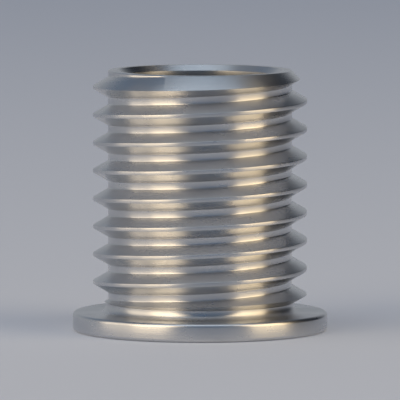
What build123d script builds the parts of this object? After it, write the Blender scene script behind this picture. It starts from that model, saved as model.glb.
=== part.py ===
from build123d import *
import os
from math import ceil, radians, tan

# Flanged thread insert: one turned steel sleeve with a thread outside for the tapped hole and a
# thread inside for the bolt. It stands on its flange: Z = 0 is the flange's outer face, and +Z
# runs along the axis to the end that enters the hole first. All sizes are in millimetres.
# The outside thread is cut in full. The bore has the radius of the inside thread's crests.

# Both threads: metric form, one pitch, right hand
pitch = 1.5
thread_angle = 60
start_height = 0.84  # of an outside crest over the seat, on the +X side

# Bore, for the bolt
bolt_diameter = 10.0
mouth_overhang = 0.95  # of the countersink's edge past the bolt's thread, in the flange's face
mouth_angle = 90
exit_chamfer = 0.3

# Outside thread, for the tapped hole
wall = 0.75  # from the bolt's thread to the outside thread's crest
neck_length = 0.5
neck_rise = 0.11  # of the neck over the outside thread's root
lead_drop = 0.04  # of the leading end's edge under the outside thread's root
lead_angle = 45

# Flange and overall length
overall_length = 14.0
flange_thickness = 1.0
flange_overhang = 1.1  # past the outside thread's crest
rim_chamfer = 0.2
foot_chamfer = 0.35  # where the neck meets the flange

# Worked out: the basic metric form, whose depth is 5/8 of its sharp triangle's height. That
# leaves a flat of pitch / 8 on each crest of a male thread and one of pitch / 4 at its root.
flank_slope = tan(radians(thread_angle / 2))
sharp_height = pitch / 2 / flank_slope
thread_depth = sharp_height * 5 / 8
bolt_crest = bolt_diameter / 2 - thread_depth
hole_crest = bolt_diameter / 2 + wall
hole_root = hole_crest - thread_depth

# Worked out: radii and heights
flange_radius = hole_crest + flange_overhang
neck_radius = hole_root + neck_rise
lead_radius = hole_root - lead_drop
mouth_radius = bolt_diameter / 2 + mouth_overhang
mouth_depth = (mouth_radius - bolt_crest) / tan(radians(mouth_angle / 2))
neck_top = flange_thickness + neck_length
thread_base = neck_top + (hole_crest - neck_radius) * flank_slope
thread_top = overall_length - (hole_crest - lead_radius) / tan(radians(lead_angle))
groove_height = flange_thickness + start_height - pitch / 2
spare = pitch / 16  # that a cutter runs past what it cuts, too little for its turns to touch


def turned(*points):
    """A solid turned about Z from (radius, height) points."""
    section = make_face(Plane.XZ * Polyline(*points, close=True))
    return revolve(section, axis=Axis.Z)


def thread_groove():
    """The vee between the outside thread's crests. It starts on the +X side inside the flange's
    height and climbs past the leading end, in one helix edge for each turn."""
    outer = hole_crest + spare
    outer_half = pitch * 7 / 16 + spare * flank_slope
    root_half = outer_half - (outer - hole_root) * flank_slope
    with BuildSketch(Plane.XZ) as section:
        with BuildLine():
            Polyline(
                (hole_root, root_half),
                (outer, outer_half),
                (outer, -outer_half),
                (hole_root, -root_half),
                close=True,
            )
        make_face()
    turn = Helix(pitch=pitch, height=pitch, radius=hole_crest)
    turns = ceil((overall_length + pitch - groove_height) / pitch)
    path = Wire([Pos(0, 0, number * pitch) * turn for number in range(turns)])
    return Pos(0, 0, groove_height) * sweep(section.sketch, path=path, is_frenet=True)


def threaded_sleeve():
    """The outside thread, from the neck's shoulder to the leading end's chamfer."""
    blank = turned(
        (0, 0),
        (neck_radius, 0),
        (neck_radius, neck_top),
        (hole_crest, thread_base),
        (hole_crest, thread_top),
        (lead_radius, overall_length),
        (0, overall_length),
    )
    return blank - thread_groove()


def flange():
    """The flange with the neck over it. The neck's top slopes in past the thread's root, so that
    the groove runs out there."""
    inner = hole_root - spare
    run_out = neck_top + (neck_radius - inner) * flank_slope
    return turned(
        (0, 0),
        (flange_radius - rim_chamfer, 0),
        (flange_radius, rim_chamfer),
        (flange_radius, flange_thickness - rim_chamfer),
        (flange_radius - rim_chamfer, flange_thickness),
        (neck_radius + foot_chamfer, flange_thickness),
        (neck_radius, flange_thickness + foot_chamfer),
        (neck_radius, neck_top),
        (inner, run_out),
        (0, run_out),
    )


def bore():
    """The hole right through, countersunk at the flange and chamfered at the leading end."""
    return turned(
        (0, -spare),
        (mouth_radius + spare * tan(radians(mouth_angle / 2)), -spare),
        (bolt_crest, mouth_depth),
        (bolt_crest, overall_length - exit_chamfer),
        (bolt_crest + exit_chamfer + spare, overall_length + spare),
        (0, overall_length + spare),
    )


os.makedirs("parts", exist_ok=True)
thread_insert = threaded_sleeve() + flange() - bore()
export_step(thread_insert, "parts/thread_insert.step")
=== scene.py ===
"""The dressed scene of a flanged thread insert.

The insert is one turned stainless-steel sleeve that stands on its flange. It has a thread
outside for the tapped hole, a thread inside for the bolt, a countersink in the flange's face
and a chamfer at the leading end. The insert's classes hold their sizes in millimetres, and its
mesh becomes metres when it is finished. The studio's classes hold theirs in metres.
"""

from __future__ import annotations

import logging
import math
from dataclasses import dataclass
from enum import Enum
from typing import Any, ClassVar, NamedTuple, Union

import bmesh
import bpy
from mathutils import Matrix, Vector

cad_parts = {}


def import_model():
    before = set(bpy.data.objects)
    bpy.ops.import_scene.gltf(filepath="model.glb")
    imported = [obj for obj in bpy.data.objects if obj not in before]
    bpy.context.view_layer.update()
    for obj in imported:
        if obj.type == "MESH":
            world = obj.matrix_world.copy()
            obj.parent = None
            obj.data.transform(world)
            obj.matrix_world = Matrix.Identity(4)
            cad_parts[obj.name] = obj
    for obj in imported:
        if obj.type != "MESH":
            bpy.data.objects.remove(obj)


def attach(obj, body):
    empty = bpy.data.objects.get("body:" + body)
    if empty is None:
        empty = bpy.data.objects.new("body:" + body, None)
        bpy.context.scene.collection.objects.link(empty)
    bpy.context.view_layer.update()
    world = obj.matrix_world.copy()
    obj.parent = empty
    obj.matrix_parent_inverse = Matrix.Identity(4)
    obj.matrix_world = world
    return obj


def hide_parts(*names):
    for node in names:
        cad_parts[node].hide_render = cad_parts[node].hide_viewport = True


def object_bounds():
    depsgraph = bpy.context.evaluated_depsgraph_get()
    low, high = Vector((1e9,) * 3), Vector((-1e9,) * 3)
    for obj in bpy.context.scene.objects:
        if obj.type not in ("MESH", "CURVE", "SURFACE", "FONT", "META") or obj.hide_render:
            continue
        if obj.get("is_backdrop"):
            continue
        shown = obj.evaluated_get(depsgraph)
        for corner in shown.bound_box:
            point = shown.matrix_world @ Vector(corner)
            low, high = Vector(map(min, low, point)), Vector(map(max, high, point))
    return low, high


log = logging.getLogger("thread_insert")

MILLIMETRE = 0.001

Colour = tuple[float, float, float]
Number = Union[float, "Signal"]
BLACK: Colour = (0.0, 0.0, 0.0)


# Shader tools


class Signal:
    """A value that changes over a surface. Python's operators add Math nodes to a number."""

    def __init__(self, graph: Graph, socket: bpy.types.NodeSocket) -> None:
        """Wrap an output socket of one of the graph's nodes."""
        self.graph = graph
        self.socket = socket

    def __add__(self, other: Number) -> Signal:
        """Add a number or signal."""
        return self.graph.math("ADD", self, other)

    def __radd__(self, other: Number) -> Signal:
        """Add this signal to a number."""
        return self.graph.math("ADD", other, self)

    def __sub__(self, other: Number) -> Signal:
        """Take away a number or signal."""
        return self.graph.math("SUBTRACT", self, other)

    def __rsub__(self, other: Number) -> Signal:
        """Take this signal away from a number."""
        return self.graph.math("SUBTRACT", other, self)

    def __mul__(self, other: Number) -> Signal:
        """Multiply by a number or signal."""
        return self.graph.math("MULTIPLY", self, other)

    def __rmul__(self, other: Number) -> Signal:
        """Multiply a number by this signal."""
        return self.graph.math("MULTIPLY", other, self)

    def __truediv__(self, other: Number) -> Signal:
        """Divide by a number or signal."""
        return self.graph.math("DIVIDE", self, other)

    def __rtruediv__(self, other: Number) -> Signal:
        """Divide a number by this signal."""
        return self.graph.math("DIVIDE", other, self)

    def __pow__(self, other: Number) -> Signal:
        """Raise to a power."""
        return self.graph.math("POWER", self, other)

    def __rpow__(self, other: Number) -> Signal:
        """Raise a number to this signal's power."""
        return self.graph.math("POWER", other, self)

    def ramp(self, low: float, high: float) -> Signal:
        """Rise smoothly from 0 at low to 1 at high.

        Args:
            low: The value that gives 0.
            high: The value that gives 1, which may be the smaller of the two.

        Returns:
            The smoothed signal.
        """
        settings = {"interpolation_type": "SMOOTHSTEP"}
        inputs = {"Value": self, "From Min": low, "From Max": high}
        return self.graph.add("ShaderNodeMapRange", settings, inputs).out("Result")


class Node:
    """A shader node whose outputs are read by name."""

    def __init__(self, graph: Graph, node: bpy.types.Node) -> None:
        """Keep the node with the graph that it stands in."""
        self.graph = graph
        self.node = node

    def out(self, name: str) -> Signal:
        """Read an output of the node that is in use, by its name."""
        found = [socket for socket in self.node.outputs if socket.name == name and socket.enabled]
        return Signal(self.graph, found[0])


class Graph:
    """The node tree of a material or of the world."""

    def __init__(self, owner: Union[bpy.types.Material, bpy.types.World]) -> None:
        """Empty the owner's node tree and take it over.

        Args:
            owner: The material or world.
        """
        owner.use_nodes = True
        self.tree = owner.node_tree
        self.tree.nodes.clear()

    def add(self, kind: str, settings: dict[str, Any], inputs: dict[str, Any]) -> Node:
        """Add any node.

        Args:
            kind: The node's type.
            settings: The node's own properties, set before its sockets.
            inputs: A value or a signal for each named socket.

        Returns:
            The new node.
        """
        node = self.tree.nodes.new(kind)
        for name, value in settings.items():
            setattr(node, name, value)
        for name, value in inputs.items():
            socket = next(s for s in node.inputs if s.name == name and s.enabled)
            self.feed(socket, value)
        return Node(self, node)

    def feed(self, socket: bpy.types.NodeSocket, value: Any) -> None:
        """Link a signal to a socket, or set the socket to a value.

        Args:
            socket: The input socket.
            value: The signal or value.
        """
        if isinstance(value, Signal):
            self.tree.links.new(value.socket, socket)
        else:
            socket.default_value = value

    def math(self, operation: str, *values: Number) -> Signal:
        """Add a Math node.

        Args:
            operation: What the node does.
            values: Its numbers or signals, in order.

        Returns:
            The node's result.
        """
        node = self.tree.nodes.new("ShaderNodeMath")
        node.operation = operation
        for socket, value in zip(node.inputs, values):
            self.feed(socket, value)
        return Signal(self, node.outputs[0])

    def vector(self, x: Number, y: Number, z: Number) -> Signal:
        """Join three numbers or signals into a vector."""
        return self.add("ShaderNodeCombineXYZ", {}, {"X": x, "Y": y, "Z": z}).out("Vector")

    def noise(self, place: Signal, size: float, detail: float) -> Signal:
        """Read a noise pattern.

        Args:
            place: Where it is read.
            size: How wide its features are, in units of place.
            detail: How many finer layers it has.

        Returns:
            The pattern, from 0 to 1.
        """
        inputs = {"Vector": place, "Scale": 1.0 / size, "Detail": detail}
        return self.add("ShaderNodeTexNoise", {}, inputs).out("Fac")

    def blend(self, share: Number, low: Any, high: Any) -> Signal:
        """Mix two colours.

        Args:
            share: How much of the second colour there is, from 0 to 1.
            low: The first colour or signal.
            high: The second colour or signal.

        Returns:
            The mixed colour.
        """
        inputs = {"Factor": share, "A": low, "B": high}
        return self.add("ShaderNodeMix", {"data_type": "RGBA"}, inputs).out("Result")

    def shine(self, kind: str, surface: Node, shader: str) -> None:
        """End the tree in its output node.

        Args:
            kind: The output node's type.
            surface: The node whose shader is shown.
            shader: The name of that shader's socket.
        """
        self.add(kind, {}, {"Surface": surface.out(shader)})


def opaque(colour: Colour) -> tuple[float, float, float, float]:
    """Give a colour full alpha."""
    return (*colour, 1.0)


# Mesh tools


class Joining(Enum):
    """The ways in which one solid meets another."""

    ADD = "UNION"
    TAKE = "DIFFERENCE"
    KEEP = "INTERSECT"


class Solid:
    """A closed mesh, in millimetres.

    Attributes:
        TOUCHING: How near two vertices of a turned line lie when they are one.
        SEAM: How near two vertices lie when a cut has left one place double.
        SLIVER: How short an edge is when it is only a cut's leftover.
    """

    TOUCHING: ClassVar[float] = 0.002
    SEAM: ClassVar[float] = 0.001
    SLIVER: ClassVar[float] = 0.0005

    def __init__(self, name: str, bm: bmesh.types.BMesh) -> None:
        """Make an object of a finished bmesh.

        Args:
            name: The object's name.
            bm: The closed shape, which is freed.
        """
        bmesh.ops.remove_doubles(bm, verts=bm.verts, dist=self.TOUCHING)
        bmesh.ops.recalc_face_normals(bm, faces=bm.faces)
        mesh = bpy.data.meshes.new(name)
        bm.to_mesh(mesh)
        bm.free()
        self.object = bpy.data.objects.new(name, mesh)
        bpy.context.scene.collection.objects.link(self.object)

    def meet(self, joining: Joining, other: Solid) -> Solid:
        """Join another solid to this one, or cut it with that.

        Args:
            joining: How the two meet.
            other: The other solid, which is used up.

        Returns:
            This solid, changed.
        """
        modifier = self.object.modifiers.new("meet", "BOOLEAN")
        modifier.operation = joining.value
        modifier.solver = "MANIFOLD"
        modifier.object = other.object
        graph = bpy.context.evaluated_depsgraph_get()
        mesh = bpy.data.meshes.new_from_object(self.object.evaluated_get(graph))
        self.object.modifiers.clear()
        spent = [self.object.data, other.object.data]
        self.object.data = mesh
        bpy.data.objects.remove(other.object)
        for old in spent:
            bpy.data.meshes.remove(old)
        return self

    def finish(self, name: str, sharp_degrees: float) -> bpy.types.Object:
        """Name the mesh, clean it, smooth its shading and bring it to metres.

        Args:
            name: The name of the finished piece.
            sharp_degrees: The turn between two faces from which their edge stays sharp.

        Returns:
            The object.
        """
        mesh = self.object.data
        self.object.name = name
        mesh.name = name
        bm = bmesh.new()
        bm.from_mesh(mesh)
        bmesh.ops.remove_doubles(bm, verts=bm.verts, dist=self.SEAM)
        bmesh.ops.dissolve_degenerate(bm, edges=bm.edges, dist=self.SLIVER)
        bmesh.ops.triangulate(bm, faces=[face for face in bm.faces if len(face.verts) > 4])
        open_edges = sum(not edge.is_manifold for edge in bm.edges)
        bm.to_mesh(mesh)
        bm.free()
        mesh.transform(Matrix.Scale(MILLIMETRE, 4))
        mesh.shade_smooth()
        mesh.set_sharp_from_angle(angle=math.radians(sharp_degrees))
        normals = self.object.modifiers.new("normals", "WEIGHTED_NORMAL")
        normals.keep_sharp = True
        log.info("%s: %d faces, %d open edges", name, len(mesh.polygons), open_edges)
        return self.object


class Corner(NamedTuple):
    """A corner of a section.

    Attributes:
        radius: Its distance from the axis.
        height: Its height.
        rounding: The radius that rounds it off, or 0 where it is sharp.
    """

    radius: float
    height: float
    rounding: float = 0.0

    @property
    def place(self) -> Vector:
        """Where the corner is in the plane through the axis."""
        return Vector((self.radius, 0.0, self.height))


class Section:
    """A line in a plane through the axis, drawn from corner to corner.

    Attributes:
        ROUND_STEP: The turn of each straight stretch of a rounded corner.
        ON_PLANE: How near a vertex lies to a cut's plane when it is taken to be on it.
    """

    ROUND_STEP: ClassVar[float] = math.radians(15.0)
    ON_PLANE: ClassVar[float] = 0.0001

    def __init__(self, corners: list[Corner]) -> None:
        """Draw the line.

        Args:
            corners: Its corners in order, of which the first and last stay sharp.
        """
        self.bm = bmesh.new()
        self.first = self.bm.verts.new(corners[0].place)
        self.tip = self.first
        for corner, after in zip(corners[1:], corners[2:]):
            self._bend(corner, after.place)
        self._line(corners[-1].place)

    def turned(self, name: str, cells: int) -> Solid:
        """Close the line and turn it once round the axis.

        Args:
            name: The solid's name.
            cells: How many equal stretches go round.

        Returns:
            The solid.
        """
        self.bm.edges.new((self.tip, self.first))
        self._spin(cells, 0.0)
        return Solid(name, self.bm)

    def screwed(self, name: str, pitch: float, cells: int, ends: tuple[float, float]) -> Solid:
        """Wind a line that repeats itself in every pitch into a right-hand helix.

        Args:
            name: The solid's name.
            pitch: How far the line climbs in a turn, to meet its own start.
            cells: How many equal stretches go round.
            ends: The heights at which the solid is cut off flat, more than a pitch inside the
                line's own ends.

        Returns:
            The solid, closed at both ends.
        """
        self._spin(cells, pitch)
        bmesh.ops.remove_doubles(self.bm, verts=self.bm.verts, dist=Solid.TOUCHING)
        for height, way in zip(ends, (-1.0, 1.0)):
            bmesh.ops.bisect_plane(
                self.bm,
                geom=self.bm.verts[:] + self.bm.edges[:] + self.bm.faces[:],
                dist=self.ON_PLANE,
                plane_co=(0.0, 0.0, height),
                plane_no=(0.0, 0.0, way),
                clear_outer=True,
            )
        rims = [edge for edge in self.bm.edges if edge.is_boundary]
        bmesh.ops.edgeloop_fill(self.bm, edges=rims)
        return Solid(name, self.bm)

    def _line(self, place: Vector) -> None:
        """Draw straight on to a place."""
        self.tip = bmesh.ops.extrude_vert_indiv(self.bm, verts=[self.tip])["verts"][0]
        self.tip.co = place

    def _bend(self, corner: Corner, onward: Vector) -> None:
        """Draw on to a corner, and round it off if it has a radius.

        Args:
            corner: The corner.
            onward: The place that the line makes for after it.
        """
        if corner.rounding == 0.0:
            self._line(corner.place)
            return
        before = (corner.place - self.tip.co).normalized()
        after = (onward - corner.place).normalized()
        turn = before.angle(after)
        axis = before.cross(after).normalized()
        start = corner.place - before * corner.rounding * math.tan(turn / 2.0)
        self._line(start)
        swung = bmesh.ops.spin(
            self.bm,
            geom=[self.tip],
            cent=start + axis.cross(before) * corner.rounding,
            axis=axis,
            angle=turn,
            steps=round(turn / self.ROUND_STEP),
            use_merge=False,
        )
        self.tip = next(v for v in swung["geom_last"] if isinstance(v, bmesh.types.BMVert))

    def _spin(self, cells: int, rise: float) -> None:
        """Spin the whole line once about the axis.

        Args:
            cells: How many equal stretches go round.
            rise: How far it climbs in the turn.
        """
        bmesh.ops.spin(
            self.bm,
            geom=self.bm.verts[:] + self.bm.edges[:],
            cent=(0.0, 0.0, 0.0),
            axis=(0.0, 0.0, 1.0),
            dvec=(0.0, 0.0, rise / cells),
            angle=math.tau,
            steps=cells,
            use_merge=rise == 0.0,
        )


# The insert


@dataclass(frozen=True)
class ThreadForm:
    """The basic metric thread form, with the small rounds that the tools leave.

    Attributes:
        pitch: The climb of one turn.
        edge_round: The radius on the edges of a crest.
        root_round: The radius in the corners of an outside thread's root.
    """

    pitch: float = 1.5
    edge_round: float = 0.03
    root_round: float = 0.1

    @property
    def slope(self) -> float:
        """How far a flank climbs for each unit that it leaves the axis."""
        return 1.0 / math.sqrt(3.0)

    @property
    def depth(self) -> float:
        """The depth of either thread, 5/8 of the height of the sharp triangle."""
        return self.pitch * 5.0 / 16.0 / self.slope

    def line(self, outer: float, first: float, turns: int, rounded: bool) -> list[Corner]:
        """List the corners of a thread's line, from the middle of one outer flat to another.

        Both threads have the same line. Its outer flats are an outside thread's crests or the
        bottom of an inside thread's groove.

        Args:
            outer: The outer flats' radius.
            first: The height of the middle of the flat that the line starts from.
            turns: How many pitches it has.
            rounded: Whether the corners have their small rounds.

        Returns:
            The corners.
        """
        inner = outer - self.depth
        half_gap = self.pitch * 7.0 / 16.0
        half_inner = self.pitch / 8.0
        edge, root = (self.edge_round, self.root_round) if rounded else (0.0, 0.0)
        corners = [Corner(outer, first)]
        for turn in range(turns):
            middle = first + (turn + 0.5) * self.pitch
            corners.append(Corner(outer, middle - half_gap, edge))
            corners.append(Corner(inner, middle - half_inner, root))
            corners.append(Corner(inner, middle + half_inner, root))
            corners.append(Corner(outer, middle + half_gap, edge))
        return [*corners, Corner(outer, first + turns * self.pitch)]


@dataclass(frozen=True)
class TurnedSteel:
    """Bright stainless steel as a lathe leaves it, with fine rings round the axis.

    Attributes:
        bright: The colour of clean metal.
        dull: The colour where a film is left on it.
        roughness: The least and most roughness.
        lay: How much the rings stretch a reflection across themselves.
        lay_turn: The turn of that stretch from along the rings, as a share of a full turn.
        ring_width: The width of the coarser rings.
        hair_width: The width of the finer ones.
        ring_depth: The depth of both.
        ring_share: How much of that depth is the coarser rings'.
        drift: How far a ring strays across itself for each unit of its radius.
        change: How fast a ring changes along itself.
        film_size: The height of the film's patches.
        film_shape: A patch's height over its width.
        film_edge: The noise at which a patch starts and at which it is full.
        film_strength: How much of the dull colour the film brings where it is full.
    """

    bright: Colour = (0.645, 0.645, 0.65)
    dull: Colour = (0.55, 0.555, 0.565)
    roughness: tuple[float, float] = (0.24, 0.36)
    lay: float = 0.6
    lay_turn: float = 0.25
    ring_width: float = 0.22
    hair_width: float = 0.05
    ring_depth: float = 0.004
    ring_share: float = 0.7
    drift: float = 0.02
    change: float = 0.03
    film_size: float = 1.818
    film_shape: float = 0.6
    film_edge: tuple[float, float] = (0.42, 0.68)
    film_strength: float = 0.7

    def material(self, name: str) -> bpy.types.Material:
        """Make the material.

        Args:
            name: Its name.

        Returns:
            The material, which reads Object coordinates.
        """
        material = bpy.data.materials.new(name)
        graph = Graph(material)
        place = graph.add("ShaderNodeTexCoord", {}, {}).out("Object")
        split = graph.add("ShaderNodeSeparateXYZ", {}, {"Vector": place})
        x, y, z = (split.out(axis) / MILLIMETRE for axis in "XYZ")
        radius = (x * x + y * y) ** 0.5
        lathe = graph.vector(radius + self.drift * x, self.change * y, z + self.drift * y)
        rings = graph.noise(lathe, self.ring_width, detail=2.0)
        hairs = graph.noise(lathe, self.hair_width, detail=1.0)
        skin = graph.vector(self.film_shape * x, self.film_shape * y, z)
        film = graph.noise(skin, self.film_size, detail=4.0).ramp(*self.film_edge)
        low, high = self.roughness
        marks = {
            "Strength": 1.0,
            "Distance": self.ring_depth * MILLIMETRE,
            "Height": rings * self.ring_share + hairs * (1.0 - self.ring_share),
        }
        steel = {
            "Base Color": graph.blend(
                film * self.film_strength, opaque(self.bright), opaque(self.dull)
            ),
            "Metallic": 1.0,
            "Roughness": low + (high - low) * (film + rings) / 2.0,
            "Anisotropic": self.lay,
            "Anisotropic Rotation": self.lay_turn,
            "Normal": graph.add("ShaderNodeBump", {}, marks).out("Normal"),
        }
        surface = graph.add("ShaderNodeBsdfPrincipled", {}, steel)
        graph.shine("ShaderNodeOutputMaterial", surface, "BSDF")
        return material


@dataclass(frozen=True)
class ThreadInsert:
    """The turned sleeve, from its flange's outer face at height 0 to its leading end.

    Attributes:
        thread: The form of both threads.
        start: The height of an outside crest over the seat, on the +X side.
        hole_crest: The radius of the outside thread's crests.
        bolt_root: The radius of the inside thread's grooves.
        length: The whole height.
        flange: The flange's radius and thickness.
        rim_round: The radius of the flange's rounded edges.
        foot_round: The radius where the neck meets the flange.
        neck: The neck's length and its rise over the outside thread's root.
        neck_lap: How far the neck laps up over the thread's shoulder.
        lead_drop: The drop of the leading end's edge under the outside thread's root.
        lead_round: The radius of that edge.
        mouth: The countersink's radius in the flange's face.
        mouth_lip: The height of the steep lip at the countersink's edge, which also sets its lean.
        mouth_round: The radius where the lip meets the countersink.
        plain_drop: How far the plain stretches of the bore stand in from the thread's crests.
        tap_reach: The height at which the tap's nose starts to leave the thread shallow.
        tap_nose: The slope of the tap's nose to the axis, in degrees.
        exit_chamfer: The chamfer of the bore at the leading end.
        spare: How far a hidden surface passes another, so that the two don't lie on each other.
        overrun: How far what is cut or wound runs past the sleeve's ends.
        spare_turns: How many pitches of a thread's line come before its crest at the seat, and
            past the leading end.
        cells: How many stretches go round.
        sharp_turn: The turn between two faces from which their edge stays sharp, in degrees.
        finish: The metal's finish.
    """

    thread: ThreadForm = ThreadForm()
    start: float = 0.84
    hole_crest: float = 5.75
    bolt_root: float = 5.0
    length: float = 14.0
    flange: tuple[float, float] = (6.85, 1.0)
    rim_round: float = 0.2
    foot_round: float = 0.42
    neck: tuple[float, float] = (0.5, 0.11)
    neck_lap: float = 0.01
    lead_drop: float = 0.04
    lead_round: float = 0.06
    mouth: float = 5.95
    mouth_lip: float = 0.06
    mouth_round: float = 0.1
    plain_drop: float = 0.02
    tap_reach: float = 11.6
    tap_nose: float = 30.0
    exit_chamfer: float = 0.3
    spare: float = 0.05
    overrun: float = 0.5
    spare_turns: int = 3
    cells: int = 144
    sharp_turn: float = 35.0
    finish: TurnedSteel = TurnedSteel()

    @property
    def seat(self) -> float:
        """The height of the flange's inner face."""
        return self.flange[1]

    @property
    def hole_root(self) -> float:
        """The radius of the outside thread's root."""
        return self.hole_crest - self.thread.depth

    @property
    def bore_radius(self) -> float:
        """The radius of the bore's plain stretches."""
        return self.bolt_root - self.thread.depth - self.plain_drop

    @property
    def neck_radius(self) -> float:
        """The radius of the neck over the flange."""
        return self.hole_root + self.neck[1]

    @property
    def neck_top(self) -> float:
        """The height at which the neck meets the thread."""
        return self.seat + self.neck[0]

    def wound(self, name: str, outer: float, rounded: bool, ends: tuple[float, float]) -> Solid:
        """Wind a rod that has either thread's form.

        Args:
            name: The rod's name.
            outer: The radius of the thread's outer flats.
            rounded: Whether the thread's corners have their small rounds.
            ends: The heights of the rod's ends.

        Returns:
            The rod.
        """
        pitch = self.thread.pitch
        first = self.seat + self.start - self.spare_turns * pitch
        turns = math.ceil((self.length - first) / pitch) + self.spare_turns
        line = self.thread.line(outer, first, turns, rounded)
        return Section(line).screwed(name, pitch, self.cells, ends)

    def threaded_blank(self) -> Solid:
        """Make the outside thread, between the neck's shoulder and the leading chamfer.

        Returns:
            The threaded blank, solid to its axis.
        """
        ends = (0.0, self.length + self.overrun)
        rod = self.wound("outside_rod", self.hole_crest, True, ends)
        inner = self.neck_radius - self.spare
        wide = self.hole_crest + self.spare
        lead = self.hole_root - self.lead_drop
        base = self.seat / 2.0
        slope = self.thread.slope
        line = [
            Corner(0.0, base),
            Corner(inner, base),
            Corner(inner, self.neck_top + (inner - self.neck_radius) * slope),
            Corner(wide, self.neck_top + (wide - self.neck_radius) * slope),
            Corner(wide, self.length - (wide - lead)),
            Corner(lead, self.length, self.lead_round),
            Corner(0.0, self.length),
        ]
        return rod.meet(Joining.KEEP, Section(line).turned("blank", self.cells))

    def flange_solid(self) -> Solid:
        """Turn the flange and the neck over it.

        Returns:
            Both as one solid.
        """
        radius, thickness = self.flange
        neck = self.neck_radius
        inner = self.hole_root - 2.0 * self.spare
        top = self.neck_top + self.neck_lap
        run_out = top + (neck - inner) * self.thread.slope
        line = [
            Corner(0.0, 0.0),
            Corner(radius, 0.0, self.rim_round),
            Corner(radius, thickness, self.rim_round),
            Corner(neck, thickness, self.foot_round),
            Corner(neck, top),
            Corner(inner, run_out),
            Corner(0.0, run_out),
        ]
        return Section(line).turned("flange", self.cells)

    def bore(self) -> Solid:
        """Turn what the drill and countersink take out.

        Returns:
            The cutter.
        """
        past = self.overrun
        lip = self.mouth_lip
        bore = self.bore_radius
        end = self.exit_chamfer
        line = [
            Corner(0.0, -past),
            Corner(self.mouth + lip, -past),
            Corner(self.mouth, lip, self.mouth_round),
            Corner(bore, lip + self.mouth - bore),
            Corner(bore, self.length - end),
            Corner(bore + end + past, self.length + past),
            Corner(0.0, self.length + past),
        ]
        return Section(line).turned("bore", self.cells)

    def tapped_grooves(self) -> Solid:
        """Make what the tap takes out, shallow where its tapered nose stops.

        Returns:
            The cutter.
        """
        rod = self.wound("inside_rod", self.bolt_root, False, (-2.0 * self.overrun, self.length))
        wide = self.bolt_root + self.spare
        narrow = self.bore_radius - self.spare
        tip = self.tap_reach + (wide - narrow) / math.tan(math.radians(self.tap_nose))
        line = [
            Corner(0.0, -self.overrun),
            Corner(wide, -self.overrun),
            Corner(wide, self.tap_reach),
            Corner(narrow, tip),
            Corner(0.0, tip),
        ]
        return rod.meet(Joining.KEEP, Section(line).turned("tap", self.cells))

    def build(self) -> bpy.types.Object:
        """Model the insert, dress it and put it on its body.

        Returns:
            The finished object.
        """
        sleeve = self.threaded_blank()
        sleeve.meet(Joining.ADD, self.flange_solid())
        sleeve.meet(Joining.TAKE, self.bore())
        sleeve.meet(Joining.TAKE, self.tapped_grooves())
        piece = sleeve.finish("threaded_sleeve", self.sharp_turn)
        piece.data.materials.clear()
        piece.data.materials.append(self.finish.material("turned_steel"))
        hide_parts("thread_insert")
        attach(piece, "root")
        return piece


# The studio


@dataclass(frozen=True)
class Floor:
    """The plain pale floor.

    Attributes:
        reach: Its size each way, in metres.
        gap: How far it lies under the object, in metres.
        colour: Its colour.
        roughness: Its roughness.
        gloss: The level of its specular reflection.
        lift: How much of its colour it shows over what the lamps make it.
    """

    reach: float = 3.0
    gap: float = 0.00001
    colour: Colour = (0.47, 0.50, 0.575)
    roughness: float = 0.9
    gloss: float = 0.2
    lift: float = 0.2

    def material(self) -> bpy.types.Material:
        """Make the floor's material, which keeps the object's shadow.

        Returns:
            The material.
        """
        material = bpy.data.materials.new("pale_floor")
        graph = Graph(material)
        path = graph.add("ShaderNodeLightPath", {}, {})
        seen = graph.math("MAXIMUM", path.out("Is Camera Ray"), path.out("Is Glossy Ray"))
        seen = graph.math("MAXIMUM", seen, path.out("Is Transmission Ray"))
        paint = {
            "Base Color": opaque(self.colour),
            "Roughness": self.roughness,
            "Specular IOR Level": self.gloss,
            "Emission Color": graph.blend(seen, opaque(BLACK), opaque(self.colour)),
            "Emission Strength": self.lift,
        }
        surface = graph.add("ShaderNodeBsdfPrincipled", {}, paint)
        graph.shine("ShaderNodeOutputMaterial", surface, "BSDF")
        return material

    def build(self) -> bpy.types.Object:
        """Lay the floor just under the object.

        Returns:
            The floor.
        """
        bm = bmesh.new()
        level = Matrix.Translation((0.0, 0.0, -self.gap))
        bmesh.ops.create_grid(
            bm, x_segments=2, y_segments=2, size=self.reach / 2.0, matrix=level
        )
        mesh = bpy.data.meshes.new("floor")
        bm.to_mesh(mesh)
        bm.free()
        mesh.materials.append(self.material())
        floor = bpy.data.objects.new("floor", mesh)
        bpy.context.scene.collection.objects.link(floor)
        floor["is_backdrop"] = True
        return floor


class Tint(Enum):
    """The colours of the lamps."""

    AMBER = (1.0, 0.78, 0.48)
    CREAM = (1.0, 0.82, 0.58)
    COOL = (0.88, 0.95, 1.0)


def toward(azimuth: float, elevation: float) -> Vector:
    """Give the way out from the object.

    Args:
        azimuth: Its direction, in degrees right of the camera's side.
        elevation: Its height over the horizon, in degrees.

    Returns:
        The way, one unit long.
    """
    turn = math.radians(azimuth)
    climb = math.radians(elevation)
    flat = math.cos(climb)
    return Vector((math.sin(turn) * flat, -math.cos(turn) * flat, math.sin(climb)))


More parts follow.
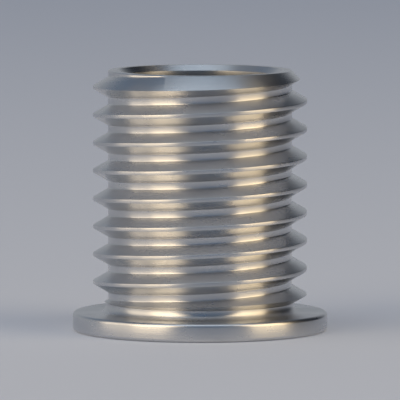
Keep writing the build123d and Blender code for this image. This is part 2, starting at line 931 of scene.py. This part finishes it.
@dataclass(frozen=True)
class Softbox:
    """An even rectangular lamp that faces the object.

    Attributes:
        name: The lamp's name.
        azimuth: Its direction from the object, in degrees right of the camera's side.
        elevation: Its height over the horizon, in degrees.
        distance: Its distance, in metres.
        width: Its width, in metres.
        height: Its height, in metres.
        level: How bright its face is, where 1 is white.
        tint: Its colour.
    """

    name: str
    azimuth: float
    elevation: float
    distance: float
    width: float
    height: float
    level: float
    tint: Tint

    def build(self, target: Vector) -> None:
        """Hang the lamp.

        Args:
            target: The point that it faces.
        """
        lamp = bpy.data.lights.new(self.name, "AREA")
        lamp.shape = "RECTANGLE"
        lamp.size = self.width
        lamp.size_y = self.height
        lamp.energy = self.level * math.pi * self.width * self.height
        lamp.color = self.tint.value
        way = toward(self.azimuth, self.elevation)
        hung = bpy.data.objects.new(self.name, lamp)
        hung.location = target + way * self.distance
        hung.rotation_euler = way.to_track_quat("Z", "Y").to_euler()
        bpy.context.scene.collection.objects.link(hung)
        log.info("%s: level %.2f", self.name, self.level)


LAMPS = (
    Softbox("left_softbox", -47.0, 24.0, 0.5, width=0.30, height=0.5, level=1.3, tint=Tint.AMBER),
    Softbox("left_sheet", -62.0, 24.0, 0.55, width=0.86, height=0.5, level=1.15, tint=Tint.CREAM),
    Softbox("right_softbox", 67.0, 24.0, 0.5, width=0.37, height=0.5, level=2.4, tint=Tint.AMBER),
    Softbox("top_softbox", 0.0, 72.0, 0.6, width=0.7, height=0.38, level=0.85, tint=Tint.COOL),
)


@dataclass(frozen=True)
class Room:
    """The room round the object, which is pale behind it and on its left.

    An edge gives where a side starts and where it is full, as the cosine of the turn from the
    middle of the side.

    Attributes:
        dark: The room's colour in front and overhead.
        shade: Its colour on the right.
        shade_azimuth: The middle of the shaded side, in degrees right of the camera's side.
        shade_edge: The shaded side's edge.
        pale: Its colour behind and on the left, near the floor.
        pale_azimuth: The middle of the pale side, in degrees right of the camera's side.
        pale_edge: The pale side's edge.
        pale_fade: The sine of the height at which the pale side is gone, and at which it is full.
    """

    dark: Colour = (0.09, 0.142, 0.222)
    shade: Colour = (0.008, 0.014, 0.024)
    shade_azimuth: float = 115.0
    shade_edge: tuple[float, float] = (0.3, 0.75)
    pale: Colour = (0.36, 0.38, 0.41)
    pale_azimuth: float = -140.0
    pale_edge: tuple[float, float] = (0.1, 0.6)
    pale_fade: tuple[float, float] = (0.75, 0.2)

    def build(self) -> None:
        """Paint the room."""
        world = bpy.data.worlds.new("room")
        bpy.context.scene.world = world
        graph = Graph(world)
        place = graph.add("ShaderNodeTexCoord", {}, {}).out("Generated")
        way = graph.add("ShaderNodeSeparateXYZ", {}, {"Vector": place})
        shaded = self.facing(way, self.shade_azimuth).ramp(*self.shade_edge)
        lit = self.facing(way, self.pale_azimuth).ramp(*self.pale_edge)
        low = way.out("Z").ramp(*self.pale_fade)
        colour = graph.blend(shaded, opaque(self.dark), opaque(self.shade))
        colour = graph.blend(lit * low, colour, opaque(self.pale))
        walls = graph.add("ShaderNodeBackground", {}, {"Color": colour, "Strength": 1.0})
        graph.shine("ShaderNodeOutputWorld", walls, "Background")

    def facing(self, way: Node, azimuth: float) -> Signal:
        """Tell how nearly a way out of the room has an azimuth.

        Args:
            way: The way's separated parts.
            azimuth: The azimuth, in degrees right of the camera's side.

        Returns:
            The cosine of the turn between them, less as the way leaves the horizon.
        """
        turn = math.radians(azimuth)
        return way.out("X") * math.sin(turn) - way.out("Y") * math.cos(turn)


@dataclass(frozen=True)
class Viewpoint:
    """The camera, which looks at the object's middle through a long lens.

    Attributes:
        SENSOR: The width of its film, in millimetres.
        elevation: How far it looks down, in degrees.
        distance: Its distance from the object, in metres.
        view: The width of what it sees at that distance, in metres.
    """

    SENSOR: ClassVar[float] = 36.0
    elevation: float = 4.9
    distance: float = 0.36
    view: float = 0.0215

    def build(self, target: Vector) -> None:
        """Set up the camera.

        Args:
            target: The point at the middle of its view.
        """
        camera = bpy.data.cameras.new("camera")
        camera.sensor_width = self.SENSOR
        camera.lens = self.SENSOR * self.distance / self.view
        way = toward(0.0, self.elevation)
        placed = bpy.data.objects.new("camera", camera)
        placed.location = target + way * self.distance
        placed.rotation_euler = way.to_track_quat("Z", "Y").to_euler()
        bpy.context.scene.collection.objects.link(placed)
        bpy.context.scene.camera = placed


def corners(bounds: Any) -> list[list[float]]:
    """Turn a box's two corners into plain lists of numbers."""
    return [[float(value) for value in corner] for corner in bounds]


def main() -> None:
    """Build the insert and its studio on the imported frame."""
    logging.basicConfig(level=logging.INFO, format="%(name)s: %(message)s")
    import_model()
    cad_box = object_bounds()
    low, high = (Vector(corner) for corner in cad_box)
    middle = (low + high) / 2.0
    bpy.context.scene.view_settings.view_transform = "Standard"
    Viewpoint().build(middle)
    piece = ThreadInsert().build()
    log.info("%s: stands %.1f mm high", piece.name, (high.z - low.z) / MILLIMETRE)
    floor = Floor().build()
    log.info("%s: laid", floor.name)
    for lamp in LAMPS:
        lamp.build(middle)
    Room().build()


if __name__ == "__main__":
    main()
